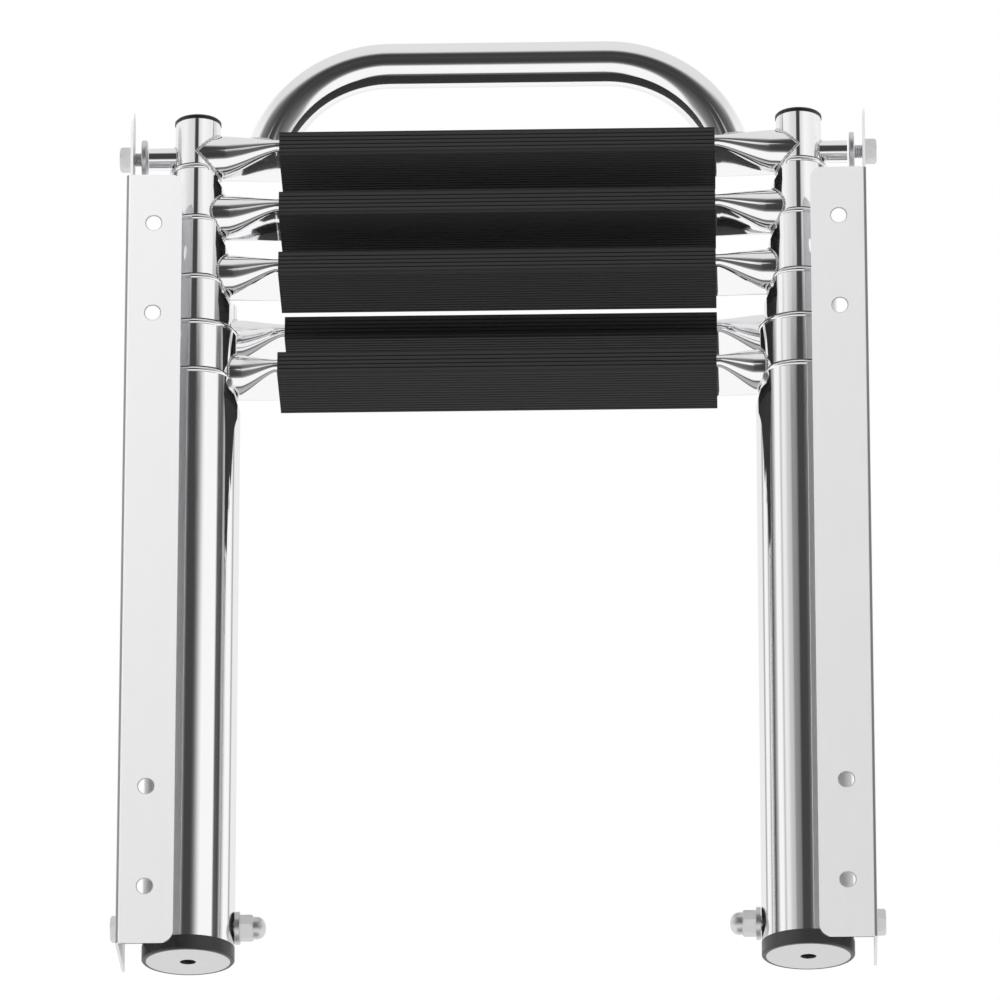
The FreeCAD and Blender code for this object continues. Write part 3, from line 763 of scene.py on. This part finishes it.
class LADDER_OT_screw_rims(Operator):
    """Rounds the edge of each screw hole in the rails' flanges"""
    bl_idname = "ladder.screw_rims"
    bl_label = "Round screw holes"

    def execute(self, context):
        sizes = context.scene.ladder_rail
        radius = sizes.hole_radius
        for side, inward in SIDES:
            low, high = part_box("%s_rail" % side)
            middle_x = (low[0] if inward > 0 else high[0]) + inward * sizes.flange / 2.0
            for index, up in enumerate(sizes.holes_up):
                path = round_path(HOLE_STEPS, lambda cos, sin: Vector(
                    (middle_x + radius * cos, low[1] + sizes.edge, low[2] + up + radius * sin)))
                bm = bmesh.new()
                sweep(bm, path, [sizes.edge] * len(path), sides=8)
                make_piece("%s_screw_rim_%d" % (side, index + 1), bm, "bolt_steel",
                           "polished_steel", "rails")
        return {"FINISHED"}


class LADDER_OT_rim_lips(Operator):
    """Rolls a fine lip round each tube's rim and down its saddle notch, with a dark ring over the
    guide bushing's collar, raised just above the rim as painted shade and dark reflection
    """
    bl_idname = "ladder.rim_lips"
    bl_label = "Roll rim lips"

    def execute(self, context):
        weld = context.scene.ladder_weld
        half = weld.lip * 0.5
        # The second line is a dark ring over the guide bushing's collar, set inside the tube and
        # raised above the rim: painted shade and dark reflection
        lines = (("lip", half, -half, weld.lip, 10, "tube_polish", "polished_steel"),
                 ("shade_ring", weld.shade_ring_inset, weld.shade_ring_rise, weld.shade_ring, 8, "band_plastic",
                  "black_plastic"))
        for side, inward in SIDES:
            for number in range(2, BASE_TUBE + 1):
                for kind, inset, rise, thick, sides, finish_name, slot in lines:
                    path, radii = self.rim_path(side, inward, number, inset, rise, thick)
                    bm = bmesh.new()
                    sweep(bm, path, radii, sides)
                    make_piece("%s_rim_%s_%d" % (side, kind, number), bm, finish_name, slot,
                               body_of_section(number))
        return {"FINISHED"}

    def rim_path(self, side, inward, number, inset, rise, thick):
        """Line round the rim and down its notch, and the radius at each point."""
        axis, radius, rim = tube_place(side, number)
        slim = bpy.context.scene.ladder_weld.notch_side_gap * 0.7
        notched = number - 1 != STANDOFF_SECTION
        path = []
        radii = []
        for step in range(RIM_STEPS):
            angle = 2.0 * math.pi * step / RIM_STEPS
            x = math.cos(angle) * (radius - inset)
            y = math.sin(angle) * (radius - inset)
            z = notch_height(number, radius, rim, abs(y)) if notched and x > 0 else rim
            depth = min(1.0, (rim - z) / NOTCH_EASE)
            path.append(Vector((axis.x + inward * x, axis.y + y, z + rise * (1.0 - depth))))
            radii.append(thick + (min(thick, slim) - thick) * depth)
        return path, radii


def notch_height(number, radius, rim, off_axis):
    """Height of a notched rim off the rung's axis: rim, round shoulder, round bottom."""
    weld = bpy.context.scene.ladder_weld
    rung_radius = bpy.context.scene.ladder_rung.diameter / 2.0
    notch_radius = rung_radius + weld.notch_side_gap
    shoulder = weld.shoulder_share * (radius - notch_radius)
    together = notch_radius + shoulder
    middle = rung_axis(number - 1).z - rung_radius - weld.notch_gap + notch_radius
    reach = math.sqrt(together ** 2 - (rim - shoulder - middle) ** 2)
    if off_axis >= reach:
        return rim
    if off_axis > reach * notch_radius / together:
        return rim - shoulder + math.sqrt(max(shoulder ** 2 - (reach - off_axis) ** 2, 0.0))
    return middle - math.sqrt(max(notch_radius ** 2 - off_axis ** 2, 0.0))


def rung_weld_path(side_x, inward, centre, upright_radius, rung_radius, count=120):
    """Line where a rung's round end meets the upright that carries it."""
    def point(cos, sin):
        x = math.sqrt(max(upright_radius ** 2 - (rung_radius * cos) ** 2, 0.0))
        return Vector((side_x + inward * x, centre.y + rung_radius * cos,
                       centre.z + rung_radius * sin))

    return round_path(count, point)


class LADDER_OT_weld_beads(Operator):
    """Lays the weld beads at the rungs, the stand-offs, the latch bosses and the hand loop"""
    bl_idname = "ladder.weld_beads"
    bl_label = "Lay weld beads"

    def execute(self, context):
        bead = context.scene.ladder_weld.bead
        for side, inward in SIDES:
            for number in SECTIONS:
                self.rung_bead(side, inward, number, bead)
            self.boss_bead(side, inward, bead * BOSS_BEAD)
            self.arm_beads(side, bead * ARM_BEAD)
            self.loop_bead(side, bead * LOOP_BEAD)
        return {"FINISHED"}

    def lay(self, name, path, bead, body):
        """One bead along a closed line, with a ripple for each pool of metal."""
        count = len(path)
        ripples = max(12, count // 3)
        radii = [bead * (1.0 - RIPPLE_DEPTH * abs(math.sin(math.pi * ripples * index / count)))
                 for index in range(count)]
        bm = bmesh.new()
        sweep(bm, path, radii, sides=8)
        make_piece(name, bm, "weld_steel", "polished_steel", body, 60.0)

    def rung_bead(self, side, inward, number, bead):
        """Bead round one end of a rung."""
        axis_x, radius = rung_carrier(side, number)
        rung_radius = bpy.context.scene.ladder_rung.diameter / 2.0
        path = rung_weld_path(axis_x, inward, rung_axis(number), radius, rung_radius)
        self.lay("%s_rung_weld_%d" % (side, number), path, bead, body_of_section(number))

    def boss_bead(self, side, inward, bead):
        """Bead round the root of the latch boss."""
        axis, radius, _ = tube_place(side, 1)
        centre = Vector((0.0, axis.y, rung_axis(1).z))
        path = rung_weld_path(axis.x, -inward, centre, radius, BOSS_RADIUS, 72)
        self.lay("%s_boss_weld" % side, path, bead, "section_1")

    def arm_beads(self, side, bead):
        """Beads at both ends of a stand-off arm."""
        post_x, _ = rung_carrier(side, STANDOFF_SECTION)
        axis, radius, _ = tube_place(side, STANDOFF_SECTION)
        centre = rung_axis(STANDOFF_SECTION)
        for end, upright, way, thick in (("tube", axis, 1.0, radius),
                                         ("post", Vector((post_x, centre.y)), -1.0, POST_RADIUS)):
            def point(cos, sin):
                x = post_x + ARM_RADIUS * cos
                reach = math.sqrt(max(thick ** 2 - (x - upright.x) ** 2, 0.0))
                return Vector((x, upright.y + way * reach, centre.z - ARM_DROP + ARM_RADIUS * sin))

            self.lay("%s_arm_weld_%s" % (side, end), round_path(BEAD_STEPS, point), bead,
                     "section_4")

    def loop_bead(self, side, bead):
        """Bead where a leg of the hand loop lands on rung 1, found by dropping lines onto it."""
        rung = bpy.data.objects.get("pressed_rung_1")
        if rung is None:
            raise RuntimeError("the rungs are pressed before the weld beads are laid")
        tree = BVHTree.FromPolygons([v.co.copy() for v in rung.data.vertices],
                                    [tuple(p.vertices) for p in rung.data.polygons])
        points, radius = loop_path()
        if side == "right":
            points = mirrored(points)
        along = (points[-1] - points[-3]).normalized()
        across = Vector((0.0, 1.0, 0.0))
        path = []
        for offset in round_offsets(across, along.cross(across).normalized(), BEAD_STEPS):
            start = points[-1] - along * 0.03 + offset * (radius - 0.0001)
            hit = tree.ray_cast(start, along, 0.06)[0]
            if hit is not None:
                path.append(hit)
        if len(path) < BEAD_STEPS // 2:
            raise RuntimeError("the hand loop's leg does not land on rung 1")
        self.lay("%s_loop_weld" % side, path, bead, "section_1")


class LADDER_OT_fasteners(Operator):
    """Builds the pivot bolt heads, domed nuts and latch knobs with turned corners"""
    bl_idname = "ladder.fasteners"
    bl_label = "Build fasteners"

    def execute(self, context):
        for side, inward in SIDES:
            way = Vector((inward, 0.0, 0.0))
            self.nut(side, way)
            self.pivot_head(side, way)
            self.latch_knob(side, way)
        return {"FINISHED"}

    def seat(self, node, way, depth):
        """Point on a fastener's axis, a depth in from its outer end, and the whole length."""
        low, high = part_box(node)
        middle = box_middle(node)
        end_x = low[0] if way.x > 0 else high[0]
        return Vector((end_x + way.x * depth, middle.y, middle.z)), high[0] - low[0]

    def fit(self, name, bm, node):
        """Puts a fastener in the place of its solid."""
        piece = make_piece(name, bm, "bolt_steel", "bolt_steel", "rails", 30.0)
        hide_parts(node)

    def nut(self, side, way):
        """Domed nut on the inner side."""
        node = "%s_pivot_nut" % side
        face, _ = self.seat(node, way, 0.0)
        bm = bmesh.new()
        hex_prism(bm, PIVOT_FLATS, face, way, NUT_HEX, NUT_CHAMFER)
        turned(bm, NUT_DOME, face, way)
        self.fit("%s_domed_nut" % side, bm, node)

    def pivot_head(self, side, way):
        """Hex head and shank of the pivot bolt."""
        node = "%s_pivot_bolt" % side
        seat, length = self.seat(node, way, PIVOT_HEAD)
        shank = length - PIVOT_HEAD - BOLT_PLAY
        bm = bmesh.new()
        hex_prism(bm, PIVOT_FLATS, seat, -way, PIVOT_HEAD, HEAD_CHAMFER)
        turned(bm, [(0.0, PIVOT_SHANK), (shank, PIVOT_SHANK)], seat, way)
        self.fit("%s_pivot_head" % side, bm, node)

    def latch_knob(self, side, way):
        """Latch knob, its ribbed neck and the washer inside the ear."""
        node = "%s_latch_bolt" % side
        seat, length = self.seat(node, way, LATCH_HEAD)
        length -= LATCH_HEAD
        run = length - LATCH_WASHER
        bm = bmesh.new()
        hex_prism(bm, LATCH_FLATS, seat, -way, LATCH_HEAD - 0.0001, HEAD_CHAMFER)
        profile = [(0.0, THREAD_CREST)]
        for turn in range(THREADS):
            profile.append((run * (turn + 0.25) / THREADS, THREAD_CREST))
            profile.append((run * (turn + 0.75) / THREADS, THREAD_ROOT))
        profile += [(run, 0.0036), (run, WASHER_RADIUS - 0.0006),
                    (run + WASHER_EDGE, WASHER_RADIUS), (length - WASHER_EDGE, WASHER_RADIUS),
                    (length, WASHER_RADIUS - WASHER_EDGE), (length, WASHER_EDGE)]
        turned(bm, profile, seat, way, 64)
        self.fit("%s_latch_knob" % side, bm, node)


# Studio

# Grey of the surroundings by bearing in degrees: at mid height, above it, and far from it
TUBE_BANDS = ((-180, 0.85), (-128, 0.9), (-122, 0.3), (-116, 1.0), (-104, 0.95), (-96, 0.08),
              (-85, 0.06), (-76, 0.5), (-71, 1.0), (-60, 0.98), (-56, 0.50), (-51, 0.90),
              (-44, 0.85), (-38, 0.62), (-30, 0.55), (-27, 0.30), (-15, 0.22), (-11, 0.06),
              (6, 0.06), (11, 0.12), (17, 0.35), (23, 0.70), (30, 1.0), (62, 1.0), (66, 0.12),
              (79, 0.06), (84, 0.40), (92, 1.0), (116, 1.0), (122, 0.3), (128, 0.9), (180, 0.85))
UPPER_BANDS = ((-180, 0.90), (-60, 0.95), (-40, 0.80), (-14, 0.75), (-10, 0.06), (4, 0.05),
               (9, 0.78), (30, 1.0), (60, 0.92), (180, 0.90))
WIDE_BANDS = ((-180, 0.90), (-75, 1.0), (-55, 0.25), (-30, 0.12), (-10, 0.05), (5, 0.05),
              (30, 0.12), (55, 0.25), (75, 1.0), (180, 0.90))
# By height of the direction, from -1 to 1: grey, share of the bands, share of the wide ones
HEIGHT_GREYS = ((-1.0, 0.45), (-0.97, 0.40), (-0.945, 0.12), (-0.91, 0.12), (-0.88, 0.95),
                (-0.80, 1.0), (0.60, 1.0), (0.78, 0.78), (1.0, 0.80))
BAND_REACH = ((-1.0, 0.0), (-0.40, 0.0), (-0.34, 0.41), (-0.29, 0.81), (-0.21, 0.94),
              (-0.10, 1.0), (0.62, 1.0), (0.69, 0.89), (0.74, 0.60), (0.78, 0.20), (0.82, 0.0),
              (1.0, 0.0))
WIDE_REACH = ((-1.0, 1.0), (0.22, 1.0), (0.27, 0.0), (0.42, 0.0), (0.46, 1.0), (1.0, 1.0))
UPPER_FROM, UPPER_TO = 0.360, 0.368
FULL_TURN = 360.0
FULL_HEIGHT = 2.0
WHITE = (1.0, 1.0, 1.0, 1.0)
LADDER_MIDDLE = (0.19, 0.0, 0.0)
FLOOR_HALF = 12.0
FLOOR_GREY = (0.86, 0.86, 0.86, 1.0)
LAMP_PLACE = (-1.1, -1.9, 1.2)
LAMP_SIZE = 1.6
LAMP_WATTS = 77.0


def ranged(tree, x, y, low, high):
    """Map Range node that brings a range of values to 0 to 1."""
    node = place(tree, "MapRange", x, y)
    node.inputs["From Min"].default_value = low
    node.inputs["From Max"].default_value = high
    return node


def studio_world():
    """White surroundings with dark vertical bands, so that polished tubes show crisp stripes."""
    world = bpy.data.worlds.new("studio_world")
    bpy.context.scene.world = world
    world.use_nodes = True
    tree = world.node_tree
    tree.nodes.clear()
    coord = place(tree, "TexCoord", -1400, 0)
    parts = place(tree, "SeparateXYZ", -1200, 0)
    flip = place(tree, "Math", -1000, 100, operation="MULTIPLY")
    flip.inputs[1].default_value = -1.0
    turn = place(tree, "Math", -800, 100, operation="ARCTAN2")
    bearing = ranged(tree, -600, 100, -math.pi, math.pi)
    height = ranged(tree, -600, -250, -1.0, 1.0)
    upper = ranged(tree, -400, 850, UPPER_FROM, UPPER_TO)
    tube_bands = grey_ramp(tree, -400, 100, TUBE_BANDS, FULL_TURN, 0.5)
    upper_bands = grey_ramp(tree, -400, 600, UPPER_BANDS, FULL_TURN, 0.5)
    wide_bands = grey_ramp(tree, -400, 1100, WIDE_BANDS, FULL_TURN, 0.5)
    greys = grey_ramp(tree, -400, -250, HEIGHT_GREYS, FULL_HEIGHT, 0.5)
    band_reach = grey_ramp(tree, -400, 350, BAND_REACH, FULL_HEIGHT, 0.5)
    wide_reach = grey_ramp(tree, -400, 1350, WIDE_REACH, FULL_HEIGHT, 0.5)
    storey = mix(tree, -150, 500)
    spread = mix(tree, -100, 750)
    banded = mix(tree, -50, 250)
    banded.inputs["A"].default_value = WHITE
    both = mix(tree, 0, 0, "MULTIPLY")
    both.inputs["Factor"].default_value = 1.0
    lit = place(tree, "Background", 200, 0)
    white = place(tree, "Background", 200, -200)
    white.inputs["Color"].default_value = WHITE
    path = place(tree, "LightPath", 0, 350)
    choice = place(tree, "MixShader", 450, 100)
    end = place(tree, "OutputWorld", 650, 100)
    wire(tree, (coord, "Generated", parts, "Vector"), (parts, "Y", flip, 0), (parts, "X", turn, 0),
         (flip, "Value", turn, 1), (turn, "Value", bearing, "Value"),
         (parts, "Z", height, "Value"), (parts, "Z", upper, "Value"))
    for ramp in (tube_bands, upper_bands, wide_bands):
        wire(tree, (bearing, "Result", ramp, "Fac"))
    for ramp in (greys, band_reach, wide_reach):
        wire(tree, (height, "Result", ramp, "Fac"))
    wire(tree, (upper, "Result", storey, "Factor"), (tube_bands, "Color", storey, "A"),
         (upper_bands, "Color", storey, "B"), (wide_reach, "Color", spread, "Factor"),
         (storey, "Result", spread, "A"), (wide_bands, "Color", spread, "B"),
         (band_reach, "Color", banded, "Factor"), (spread, "Result", banded, "B"),
         (banded, "Result", both, "A"), (greys, "Color", both, "B"),
         (both, "Result", lit, "Color"), (path, "Is Camera Ray", choice, "Fac"),
         (lit, "Background", choice, 1), (white, "Background", choice, 2),
         (choice, "Shader", end, "Surface"))


class LADDER_OT_studio(Operator):
    """Sets the camera, the surroundings, a soft lamp and the pale floor"""
    bl_idname = "ladder.studio"
    bl_label = "Set up studio"

    def execute(self, context):
        settings = context.scene.ladder_studio
        studio_world()
        self.camera(context, settings)
        self.floor(context, settings)
        self.lamp(context)
        context.scene.view_settings.view_transform = "Standard"
        return {"FINISHED"}

    def camera(self, context, settings):
        """Long lens, from below, as in the photograph."""
        data = bpy.data.cameras.new("ladder_camera")
        data.lens = data.sensor_width * settings.distance / settings.view_height
        data.clip_end = 100.0
        camera = bpy.data.objects.new("ladder_camera", data)
        context.scene.collection.objects.link(camera)
        level = math.cos(settings.elevation)
        away = Vector((math.sin(settings.azimuth) * level, -math.cos(settings.azimuth) * level,
                       math.sin(settings.elevation)))
        aim = Vector(settings.aim)
        camera.location = aim + away * settings.distance
        camera.rotation_euler = (-away).to_track_quat("-Z", "Y").to_euler()
        context.scene.camera = camera

    def floor(self, context, settings):
        """Pale floor, clear when seen from below."""
        bm = bmesh.new()
        bmesh.ops.create_grid(bm, x_segments=1, y_segments=1, size=FLOOR_HALF)
        mesh = bpy.data.meshes.new("studio_floor")
        bm.to_mesh(mesh)
        bm.free()
        floor = bpy.data.objects.new("studio_floor", mesh)
        floor.location = (LADDER_MIDDLE[0], LADDER_MIDDLE[1], settings.floor_drop)
        floor.visible_glossy = False
        context.scene.collection.objects.link(floor)
        material, tree, shader = new_material("pale_floor")
        shader.inputs["Base Color"].default_value = FLOOR_GREY
        shader.inputs["Roughness"].default_value = 0.8
        clear = place(tree, "BsdfTransparent", 0, -200)
        facing = place(tree, "NewGeometry", 0, 300)
        choice = place(tree, "MixShader", 300, 100)
        wire(tree, (facing, "Backfacing", choice, "Fac"), (shader, "BSDF", choice, 1),
             (clear, "BSDF", choice, 2),
             (choice, "Shader", tree.nodes["Material Output"], "Surface"))
        mesh.materials.append(material)

    def lamp(self, context):
        """One broad soft lamp from the upper front."""
        data = bpy.data.lights.new("soft_lamp", "AREA")
        data.shape = "SQUARE"
        data.size = LAMP_SIZE
        data.energy = LAMP_WATTS
        lamp = bpy.data.objects.new("soft_lamp", data)
        lamp.location = LAMP_PLACE
        lamp.visible_glossy = False
        towards = Vector(LADDER_MIDDLE) - lamp.location
        lamp.rotation_euler = towards.to_track_quat("-Z", "Y").to_euler()
        context.scene.collection.objects.link(lamp)


class LADDER_PT_panel(Panel):
    """Lists the ladder's pieces and settings"""
    bl_idname = "LADDER_PT_panel"
    bl_label = "Boat Ladder"
    bl_space_type = "VIEW_3D"
    bl_region_type = "UI"
    bl_category = "Ladder"

    def draw(self, context):
        for group, _, operators in SETTINGS:
            settings = getattr(context.scene, group)
            box = self.layout.box()
            for name in settings.__annotations__:
                box.prop(settings, name)
            for operator in operators:
                box.operator(operator)


SETTINGS = (
    ("ladder_finish", LadderFinishSettings, ("ladder.metalwork", "ladder.fasteners")),
    ("ladder_rail", LadderRailSettings, ("ladder.screw_rims",)),
    ("ladder_rung", LadderRungSettings, ("ladder.rungs",)),
    ("ladder_tread", LadderTreadSettings, ("ladder.treads",)),
    ("ladder_weld", LadderWeldSettings, ("ladder.rim_lips", "ladder.weld_beads")),
    ("ladder_studio", LadderStudioSettings, ("ladder.studio",)),
)

CLASSES = (LADDER_OT_treads, LADDER_OT_metalwork, LADDER_OT_rungs, LADDER_OT_screw_rims,
           LADDER_OT_rim_lips, LADDER_OT_weld_beads, LADDER_OT_fasteners, LADDER_OT_studio,
           LADDER_PT_panel)


def register():
    """Registers the settings, the operators and the panel."""
    for name, group, _ in SETTINGS:
        bpy.utils.register_class(group)
        setattr(bpy.types.Scene, name, PointerProperty(type=group))
    for cls in CLASSES:
        bpy.utils.register_class(cls)


def unregister():
    """Removes what register added."""
    for cls in reversed(CLASSES):
        bpy.utils.unregister_class(cls)
    for name, group, _ in reversed(SETTINGS):
        delattr(bpy.types.Scene, name)
        bpy.utils.unregister_class(group)


def main():
    """Builds every piece in order."""
    register()
    bpy.ops.ladder.studio()
    bpy.ops.ladder.metalwork()
    bpy.ops.ladder.treads()
    bpy.ops.ladder.rungs()
    bpy.ops.ladder.screw_rims()
    bpy.ops.ladder.rim_lips()
    bpy.ops.ladder.weld_beads()
    bpy.ops.ladder.fasteners()


if __name__ == "__main__":
    main()
